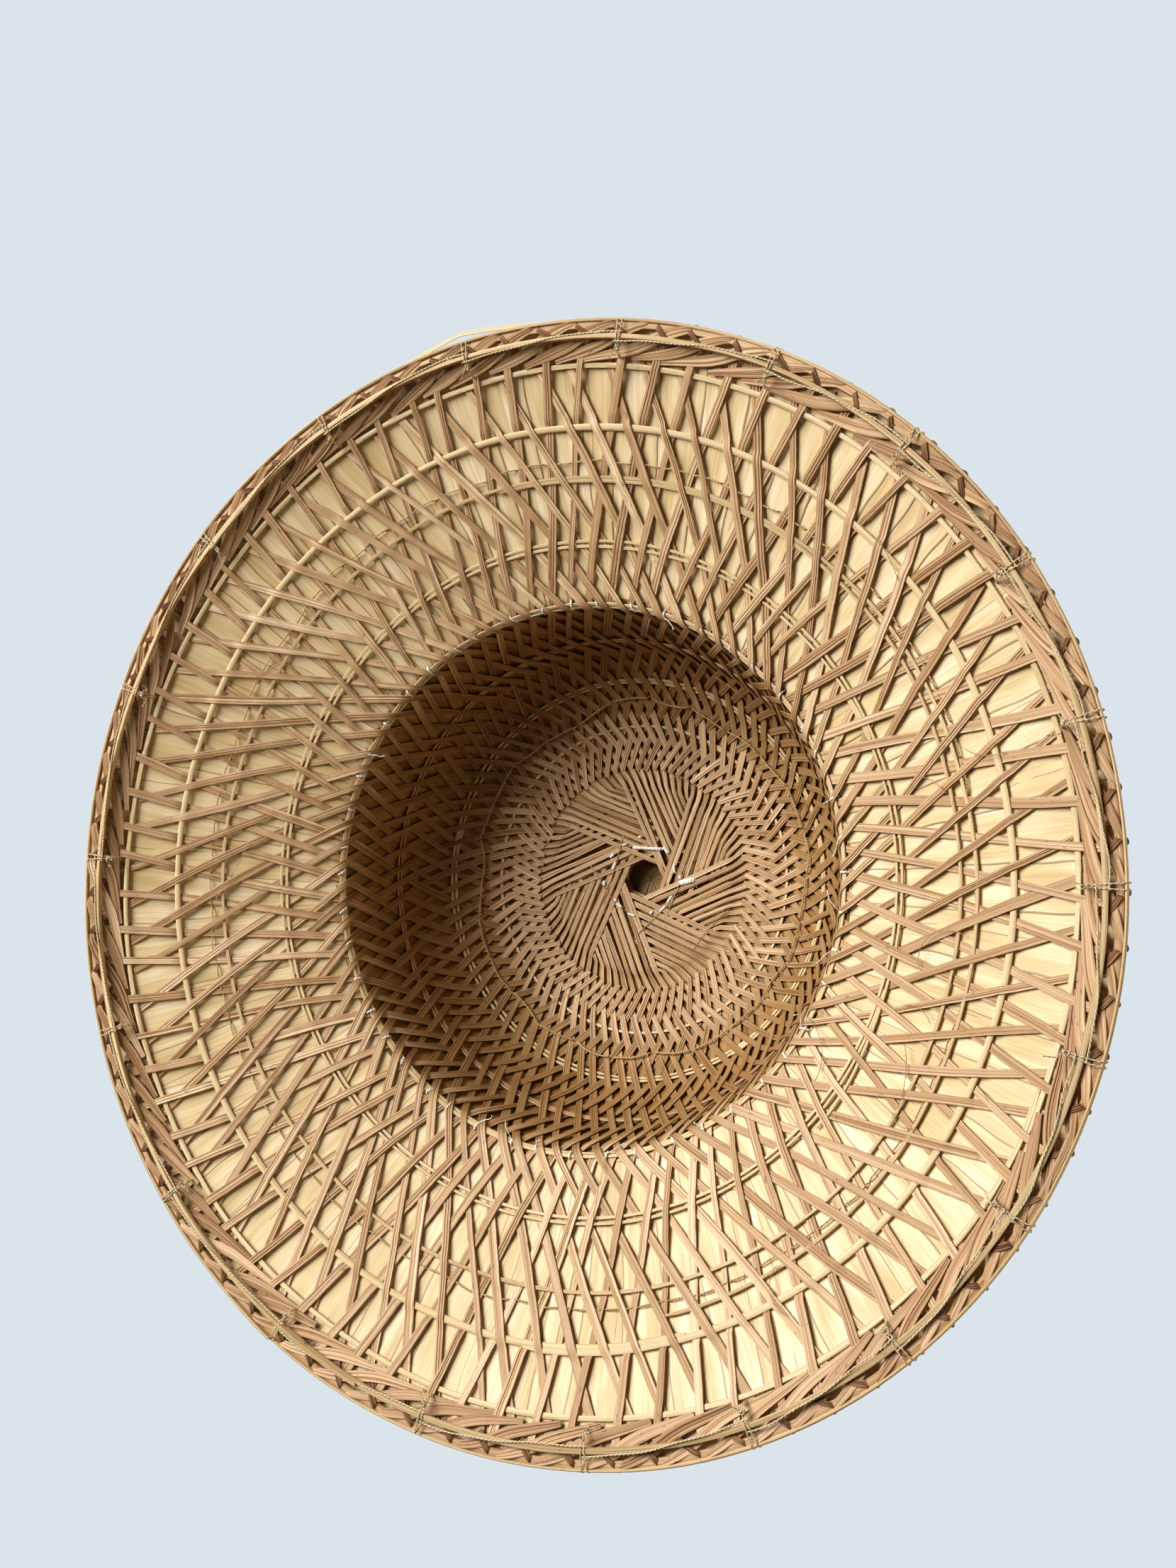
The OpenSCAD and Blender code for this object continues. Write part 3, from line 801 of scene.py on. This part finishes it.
def chord(parts, rng, begin, end, diameter, lift, tone):
    """A straight stitch between two (radius, angle) places on the roof, its ends going through."""
    a, b = [level_ring(r, 0, angle)[:2] for r, angle in (begin, end)]
    share = np.linspace(0, 1, 16)[:, None]
    flat = a + (b - a) * share
    r = np.hypot(flat[:, 0], flat[:, 1])
    angle = np.arctan2(flat[:, 1], flat[:, 0])
    dip = 2.4 * MM * np.abs(2 * share[:, 0] - 1) ** 9
    centre, normals = surface(s_at_radius(r), angle, lift + dip + wander(rng, share[:, 0], (0.7,), 0.1 * MM))
    parts.strip(centre, -normals, diameter, diameter * 0.6, ROUND, tone)


# Long brown threads across the star: radius in millimetres and angle in degrees of each end
BROWN_THREADS = [
    ((26, 140), (23, 250)),
    ((27, 196), (19, 120)),
    ((22, 62), (24, 340)),
    ((28, 100), (19, 20)),
]


def apex_stitches(materials):
    """White stitches round the hole, and a few long brown threads across them."""
    rng = np.random.default_rng(91)
    parts = Parts()
    for number in range(APEX_STITCHES):
        angle = (number + rng.uniform(-0.3, 0.3)) * 2 * math.pi / APEX_STITCHES
        r = rng.uniform(14.5, 18.5) * MM
        length = rng.choice([1.6, 2.4, 4.2]) * MM
        end = (r + rng.uniform(-0.8, 0.8) * MM, angle + length / r)
        chord(parts, rng, (r, angle), end, rng.uniform(0.9, 1.4) * MM, -1.6 * MM, 0.5)
    chord(parts, rng, (14.6 * MM, 250 * DEG), (16.5 * MM, 310 * DEG), 1.3 * MM, -1.8 * MM, 0.5)
    chord(parts, rng, (17.5 * MM, 8 * DEG), (25 * MM, 2 * DEG), 2.2 * MM, -1.6 * MM, 0.6)
    parts.piece("apex_stitches_fine", materials["white_thread"], "white_thread", "apex_stitches")
    brown = Parts()
    for ends in BROWN_THREADS:
        begin, end = [(r * MM, angle * DEG) for r, angle in ends]
        chord(brown, rng, begin, end, 0.4 * MM, -1.5 * MM, 0.3)
    brown.piece("apex_threads_fine", materials["tan_thread"], "tan_thread")


def loose_fibres(materials):
    """Frayed fibres and thread ends that curl off the lattice inside the crown and on the brim."""
    rng = np.random.default_rng(101)
    parts = Parts()
    for number in range(LOOSE_FIBRES):
        inside = number % 2 == 0
        s = rng.uniform(MOUTH_S + 20 * MM, STAR_S) if inside else rng.uniform(30 * MM, MOUTH_S)
        angle = rng.uniform(0, 2 * math.pi)
        length = rng.uniform(8, 30) * MM
        share = np.linspace(0, 1, 22)
        heading = rng.uniform(0, 2 * math.pi)
        curl = rng.uniform(-2.5, 2.5)
        path_s = s + length * np.cumsum(np.cos(heading + curl * share)) / 22
        path_angle = angle + length * np.cumsum(np.sin(heading + curl * share)) / 22 / radius(s)
        lift = -1.3 * MM - rng.uniform(0.5, 2.5) * MM * np.sin(math.pi * share) * 0.6
        centre, normals = surface(np.clip(path_s, 0, S[-1]), path_angle, lift)
        parts.strip(centre, -normals, 0.28 * MM, 0.28 * MM, ROUND, rng.random())
    parts.piece("loose_fibres", materials["tan_thread"], "tan_thread")


# -------- peak


def peak(materials):
    """A cap of small leaves over the hole on the outside, held by a ring."""
    rng = np.random.default_rng(111)
    low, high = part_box("peak_cap")
    cap_r = high.x
    roof = surface(s_at_radius(cap_r), 0.0, OUTER_LAYER + 1.2 * MM)[0]
    sink = low.z - float(roof.ravel()[2])
    parts = Parts()
    for number in range(CAP_LEAVES):
        across, share = np.meshgrid(np.linspace(-1, 1, LEAF_COLUMNS), np.linspace(0.002, 1, 14))
        middle = number * 2 * math.pi / CAP_LEAVES
        angle = middle + across * math.pi / CAP_LEAVES * 1.3
        r = cap_r * share
        z = high.z - sink - 0.4 * MM - (high.z - low.z - 1.2 * MM) * share**1.25 + 0.25 * MM * across
        centre = level_ring(r, z, angle)
        normals = np.stack([0.25 * np.cos(angle), 0.25 * np.sin(angle), np.ones_like(angle)], -1)
        normals /= np.linalg.norm(normals, axis=-1)[..., None]
        parts.sheet(centre, normals, 0.3 * MM, across, share * cap_r, rng.random())
    # The cap takes a darker leaf colour: painted shade, so that the hole at the apex looks dark from inside
    parts.piece("peak_cap_fine", materials["shaded_cap_leaf"], "leaf", "peak_cap")
    ring = Parts()
    ring_low, ring_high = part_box("peak_ring")
    ring_z = (ring_low.z + ring_high.z) / 2 - sink
    ring_h = (ring_high.z - ring_low.z) * 0.8
    for inward, start in ((1.1 * MM, 0.0), (2.4 * MM, 3.0)):
        level_hoop(ring, rng, ring_high.x - inward, ring_z, 1.2 * MM, ring_h, start, 0.4, 0.1 * MM)
    ring.piece("peak_ring_fine", materials["pale_hoop"], "pale_hoop", "peak_ring")


# -------- materials


def srgb(red, green, blue):
    """Linear colour from screen values of 0 to 255."""
    shares = [value / 255 for value in (red, green, blue)]
    return [v / 12.92 if v <= 0.04045 else ((v + 0.055) / 1.055) ** 2.4 for v in shares] + [1]


def add_node(tree, kind, *sources):
    """A new shader node; each source is linked to its next input, or is that input's value."""
    node = tree.nodes.new("ShaderNode" + kind)
    for socket, source in zip(node.inputs, sources):
        if isinstance(source, bpy.types.NodeSocket):
            tree.links.new(source, socket)
        else:
            socket.default_value = source
    return node


class Nodes:
    """Short calls for building one node material."""

    def __init__(self, name, roughness, specular):
        self.material = bpy.data.materials.new(name)
        self.material.use_nodes = True
        self.tree = self.material.node_tree
        self.shader = self.tree.nodes["Principled BSDF"]
        self.shader.inputs["Roughness"].default_value = roughness
        self.shader.inputs["Specular IOR Level"].default_value = specular

    def link(self, source, target):
        self.tree.links.new(source, target)

    def paint(self, name):
        """One of the numbers that the mesh carries at each point."""
        node = add_node(self.tree, "Attribute")
        node.attribute_name = name
        return node.outputs["Fac"]

    def place(self):
        """Place on the object, in metres."""
        return add_node(self.tree, "TexCoord").outputs["Object"]

    def math(self, operation, *values):
        node = add_node(self.tree, "Math", *values)
        node.operation = operation
        return node.outputs[0]

    def fibre_space(self, across, along):
        """Coordinates for noise: stretched along the strip, and different on each strip."""
        scales = {"across": across, "along": along, "tone": 91.0}
        places = [self.math("MULTIPLY", self.paint(name), scale) for name, scale in scales.items()]
        return add_node(self.tree, "CombineXYZ", *places).outputs[0]

    def noise(self, space, detail, scale=1):
        node = add_node(self.tree, "TexNoise", space)
        node.inputs["Scale"].default_value = scale
        node.inputs["Detail"].default_value = detail
        return node.outputs["Fac"]

    def ramp(self, value, stops):
        node = add_node(self.tree, "ValToRGB", value)
        while len(node.color_ramp.elements) < len(stops):
            node.color_ramp.elements.new(0.5)
        for element, (place, colour) in zip(node.color_ramp.elements, stops):
            element.position = place
            element.color = colour
        return node.outputs["Color"]

    def step(self, value, low, high, start, end):
        """A smooth change from start to end as value goes from low to high."""
        node = add_node(self.tree, "MapRange", value, low, high, start, end)
        node.interpolation_type = "SMOOTHSTEP"
        return node.outputs["Result"]

    def mix(self, share, first, second):
        """The colour first with a share of the colour second."""
        node = add_node(self.tree, "Mix")
        node.data_type = "RGBA"
        for name, value in (("Factor", share), ("A", first), ("B", second)):
            socket = next(s for s in node.inputs if s.name == name and s.enabled)
            if isinstance(value, list):
                socket.default_value = value
            else:
                self.link(value, socket)
        return next(s for s in node.outputs if s.enabled)

    def bump(self, height, distance, strength):
        node = add_node(self.tree, "Bump")
        node.inputs["Strength"].default_value = strength
        node.inputs["Distance"].default_value = distance
        self.link(height, node.inputs["Height"])
        self.link(node.outputs["Normal"], self.shader.inputs["Normal"])

    def colour(self, socket):
        """Sets the surface's colour, and gives back the finished material."""
        self.link(socket, self.shader.inputs["Base Color"])
        return self.material


# Distances along a splint, in metres, over which it passes on to the crown's wall and on to its roof
WALL_STARTS = (0.106, 0.124)
WALL_ENDS = (0.18, 0.21)
# Brown of the painted shade on the splints over the crown's wall
CROWN_SHADE_TONE = (150, 115, 70)


def bamboo(name, dark, middle, light, edge, shade, crown_shade):
    """Split bamboo: long fibres, streaks, brown specks and darker edges.

    The darkest strip is mixed with dark by the share shade, and the splints over the crown's wall are browned
    by the last share: painted shade for the crown's hollow.
    """
    n = Nodes(name, 0.5, 0.3)
    broad = n.noise(n.fibre_space(2.4, 9), 2)
    fine = n.noise(n.fibre_space(9, 14), 3)
    fibre = n.math("ADD", n.math("MULTIPLY", broad, 0.5), n.math("MULTIPLY", fine, 0.5))
    colour = n.ramp(fibre, [(0.34, dark), (0.49, middle), (0.62, light)])
    tone = n.step(n.paint("tone"), 0.0, 1.0, shade, 0.0)
    colour = n.mix(tone, colour, dark)
    # Painted shade: the splints are browned over the crown's wall, where the inside of the crown lies in
    # shade
    wall = n.step(n.paint("along"), *WALL_STARTS, crown_shade * 0.15, crown_shade)
    roof = n.step(n.paint("along"), *WALL_ENDS, crown_shade, crown_shade * 0.2)
    colour = n.mix(n.math("MINIMUM", wall, roof), colour, srgb(*CROWN_SHADE_TONE))
    speck = n.step(n.noise(n.fibre_space(2.2, 260), 1), 0.7, 0.76, 0.0, 0.55)
    colour = n.mix(speck, colour, edge)
    border = n.step(n.math("ABSOLUTE", n.paint("across")), 0.94, 1.0, 0.0, 0.45)
    colour = n.mix(border, colour, edge)
    n.bump(fine, 0.12 * MM, 0.7)
    return n.colour(colour)


def leaf(name, dark, middle, light, edge):
    """Dried palm leaf: fine lengthwise veins, mottling, and a brown torn edge with a painted shadow line
    along it.
    """
    n = Nodes(name, 0.48, 0.3)
    vein = n.noise(n.fibre_space(26, 9), 4)
    mottle = n.noise(n.fibre_space(2.2, 26), 3)
    colour = n.ramp(mottle, [(0.34, dark), (0.5, middle), (0.66, light)])
    veins = n.step(vein, 0.4, 0.62, 0.16, 0.0)
    colour = n.mix(veins, colour, edge)
    tone = n.step(n.paint("tone"), 0.55, 1.0, 0.0, 0.3)
    colour = n.mix(tone, colour, dark)
    # The edge that lies nearer the wearer: brown of the torn edge, with a painted shadow where it overhangs
    # the next leaf
    border = n.step(n.paint("across"), 0.955, 0.975, 0.0, 0.5)
    colour = n.mix(border, colour, edge)
    place = n.math("SUBTRACT", n.math("MULTIPLY", n.paint("tone"), 1.3), 0.75)
    drift = n.math("MULTIPLY", n.noise(n.fibre_space(0.01, 22), 1), 0.16)
    away = n.math("ABSOLUTE", n.math("SUBTRACT", n.paint("across"), n.math("ADD", place, drift)))
    broken = n.step(n.noise(n.fibre_space(0.01, 60), 1), 0.42, 0.5, 0.0, 1.0)
    crack = n.math("MULTIPLY", n.step(away, 0.006, 0.014, 0.55, 0.0), broken)
    colour = n.mix(crack, colour, edge)
    n.bump(vein, 0.15 * MM, 0.5)
    return n.colour(colour)


def thread(name, dark, light, pitch):
    """Twisted fibre: strands that wind round the thread."""
    n = Nodes(name, 0.8, 0.15)
    wound = n.math("MULTIPLY", n.paint("along"), 2 * math.pi / pitch)
    strand = n.math("SINE", n.math("ADD", wound, n.math("MULTIPLY", n.paint("across"), 2)))
    shade = n.math("ADD", n.math("MULTIPLY", strand, 0.3), n.noise(n.place(), 2, 900))
    colour = n.ramp(shade, [(0.15, dark), (0.75, light)])
    n.bump(strand, 0.12 * MM, 0.8)
    return n.colour(colour)


# Screen colours of each bamboo, dark, middle, light and edge, its share of shade for the darkest strip, and
# its share of painted shade on the crown's wall
BAMBOOS = {
    "inner_splint": ((158, 119, 82), (212, 179, 140), (248, 226, 197), (104, 68, 40), 0.45, 0.8),
    "outer_splint": ((140, 106, 68), (190, 155, 110), (222, 194, 152), (104, 70, 40), 0.45, 0.0),
    "pale_hoop": ((196, 168, 122), (222, 200, 158), (236, 220, 186), (150, 116, 76), 0.2, 0.0),
    "rim_hoop": ((160, 128, 88), (208, 180, 138), (234, 214, 176), (108, 78, 48), 0.25, 0.0),
    # A darker copy of rim_splint for the hairpins: painted shade for the band outside the rim's inner hoop
    "shaded_rim_loop": ((92, 60, 36), (138, 98, 64), (178, 138, 100), (58, 36, 20), 0.45, 0.0),
    "rim_splint": ((136, 98, 64), (194, 158, 120), (230, 202, 168), (84, 54, 32), 0.45, 0.0),
}
# Screen colours of each leaf: dark, middle, light and edge
LEAVES = {
    "leaf": ((219, 194, 146), (236, 214, 172), (246, 229, 195), (88, 54, 26)),
    # A darker copy of the leaf for the crown's wall and roof: painted shade for the hollow of the crown
    "shaded_crown_leaf": ((134, 100, 54), (162, 126, 72), (186, 150, 94), (88, 54, 26)),
    # A darker copy of the leaf for the peak cap: painted shade for the hole at the apex
    "shaded_cap_leaf": ((106, 83, 48), (131, 106, 64), (154, 128, 82), (88, 54, 26)),
}
# Screen colours of each thread, dark and light, and the length in which a strand winds round once
THREADS = {
    "rim_twine": ((184, 166, 132), (232, 218, 188), 1.6 * MM),
    "tan_thread": ((160, 128, 82), (216, 190, 146), 1.2 * MM),
    "white_thread": ((228, 224, 216), (253, 251, 248), 1.2 * MM),
}


def make_materials():
    made = {}
    for name, (*colours, shade, crown_shade) in BAMBOOS.items():
        made[name] = bamboo(name, *[srgb(*colour) for colour in colours], shade, crown_shade)
    for name, colours in LEAVES.items():
        made[name] = leaf(name, *[srgb(*colour) for colour in colours])
    for name, (dark, light, pitch) in THREADS.items():
        made[name] = thread(name, srgb(*dark), srgb(*light), pitch)
    return made


# -------- camera, lights and floor

FOCAL_LENGTH = 29.19
CAMERA_PLACE = Vector((0.2051, 0.0086, -0.3991))
CAMERA_TURN = 23.82 * DEG
CAMERA_TILT = 5.10 * DEG


def camera_axes():
    """The camera's own axes: it looks up the hat's axis, then is turned and tilted."""
    tilt = Matrix.Rotation(CAMERA_TILT, 3, "X")
    swing = Matrix.Rotation(-CAMERA_TURN, 3, "Y")
    flip = Matrix.Rotation(math.pi, 3, "X")
    return swing @ tilt @ flip


def make_camera():
    data = bpy.data.cameras.new("camera")
    data.lens = FOCAL_LENGTH
    data.sensor_width = 36
    data.clip_start = 0.01
    made = new_object("camera", data)
    made.matrix_world = Matrix.Translation(CAMERA_PLACE) @ camera_axes().to_4x4()
    bpy.context.scene.camera = made


def area_light(name, place, target, size, power, colour):
    data = bpy.data.lights.new(name, "AREA")
    data.shape = "DISK"
    data.size = size
    data.energy = power
    data.color = colour
    made = new_object(name, data)
    made.location = place
    made.rotation_mode = "QUATERNION"
    made.rotation_quaternion = (target - place).to_track_quat("-Z", "Y")


def make_lights():
    """A soft key light from the camera's upper left, a warm one beside it, and soft ones over the outside."""
    axes = camera_axes()
    right, up, back = axes.col[0], axes.col[1], axes.col[2]
    centre = Vector((0, 0, 0.06))
    key = centre + (-0.74 * right + 0.45 * up + 0.38 * back).normalized() * 1.5
    area_light("key", key, centre, 1.1, 34, (1.0, 0.985, 0.96))
    fill = centre + (0.1 * right + 0.1 * up + 1.0 * back).normalized() * 1.6
    area_light("fill", fill, centre, 1.2, 0.4, (1.0, 0.9, 0.72))
    area_light("side", Vector((1.4, 0.45, -0.12)), Vector((0, 0, 0)), 0.8, 5, (1.0, 0.9, 0.64))
    area_light("upper_left", Vector((-1.1, -1.2, 1.5)), centre, 1.2, 34, (1.0, 0.97, 0.93))
    area_light("upper_right", Vector((1.5, -0.3, 1.1)), centre, 1.4, 14, (0.93, 0.96, 1.0))
    area_light("upper_back", Vector((-0.4, 1.6, 1.2)), centre, 1.2, 12, (0.95, 0.97, 1.0))


BACKDROP = srgb(205, 212, 218)
FLOOR_HALF = 40.0
# Distances from the hat over which the floor fades into the backdrop, in metres
FADE_START = 0.45
FADE_END = 1.8


def make_world():
    """A pale backdrop, and dimmer light from it than it shows."""
    world = bpy.data.worlds.new("world")
    world.use_nodes = True
    tree = world.node_tree
    light = tree.nodes["Background"]
    light.inputs["Color"].default_value = (1.0, 0.84, 0.56, 1)
    light.inputs["Strength"].default_value = 0.05
    backdrop = add_node(tree, "Background", BACKDROP)
    seen = add_node(tree, "LightPath").outputs["Is Camera Ray"]
    choose = add_node(tree, "MixShader", seen, light.outputs[0], backdrop.outputs[0])
    tree.links.new(choose.outputs[0], tree.nodes["World Output"].inputs["Surface"])
    bpy.context.scene.world = world


def floor_material():
    """Pale grey that fades into the backdrop far off, and is clear from below."""
    n = Nodes("floor", 0.8, 0.5)
    n.shader.inputs["Base Color"].default_value = srgb(214, 216, 218)
    distance = add_node(n.tree, "VectorMath", n.place())
    distance.operation = "LENGTH"
    fade = n.step(distance.outputs["Value"], FADE_START, FADE_END, 0.0, 1.0)
    far = add_node(n.tree, "Emission", BACKDROP)
    ground = add_node(n.tree, "MixShader", fade, n.shader.outputs[0], far.outputs[0])
    below = add_node(n.tree, "NewGeometry").outputs["Backfacing"]
    clear = add_node(n.tree, "BsdfTransparent")
    choose = add_node(n.tree, "MixShader", below, ground.outputs[0], clear.outputs[0])
    n.link(choose.outputs[0], n.tree.nodes["Material Output"].inputs["Surface"])
    return n.material


def make_floor():
    """A pale floor that is seen and shaded from above only, as the photograph looks up through it."""
    mesh = bpy.data.meshes.new("floor")
    signs = [(-1, -1), (1, -1), (1, 1), (-1, 1)]
    mesh.from_pydata([(x * FLOOR_HALF, y * FLOOR_HALF, 0) for x, y in signs], [], [(0, 1, 2, 3)])
    mesh.materials.append(floor_material())
    floor = new_object("floor", mesh)
    floor.visible_shadow = False
    floor.visible_diffuse = False


# -------- the hat


SUBPARTS = (
    lattices, leaves, hoops, rim_hoops, loose_rim_strip, fold_band, hairpins, rim_ties, rim_twine,
    threads, mouth_ties, apex_stitches, loose_fibres, peak,
)


def make_hat():
    materials = make_materials()
    for make_subpart in SUBPARTS:
        make_subpart(materials)


make_hat()
make_camera()
make_lights()
make_world()
make_floor()
bpy.context.scene.view_settings.view_transform = "Standard"
bpy.context.scene.view_settings.look = "Medium High Contrast"
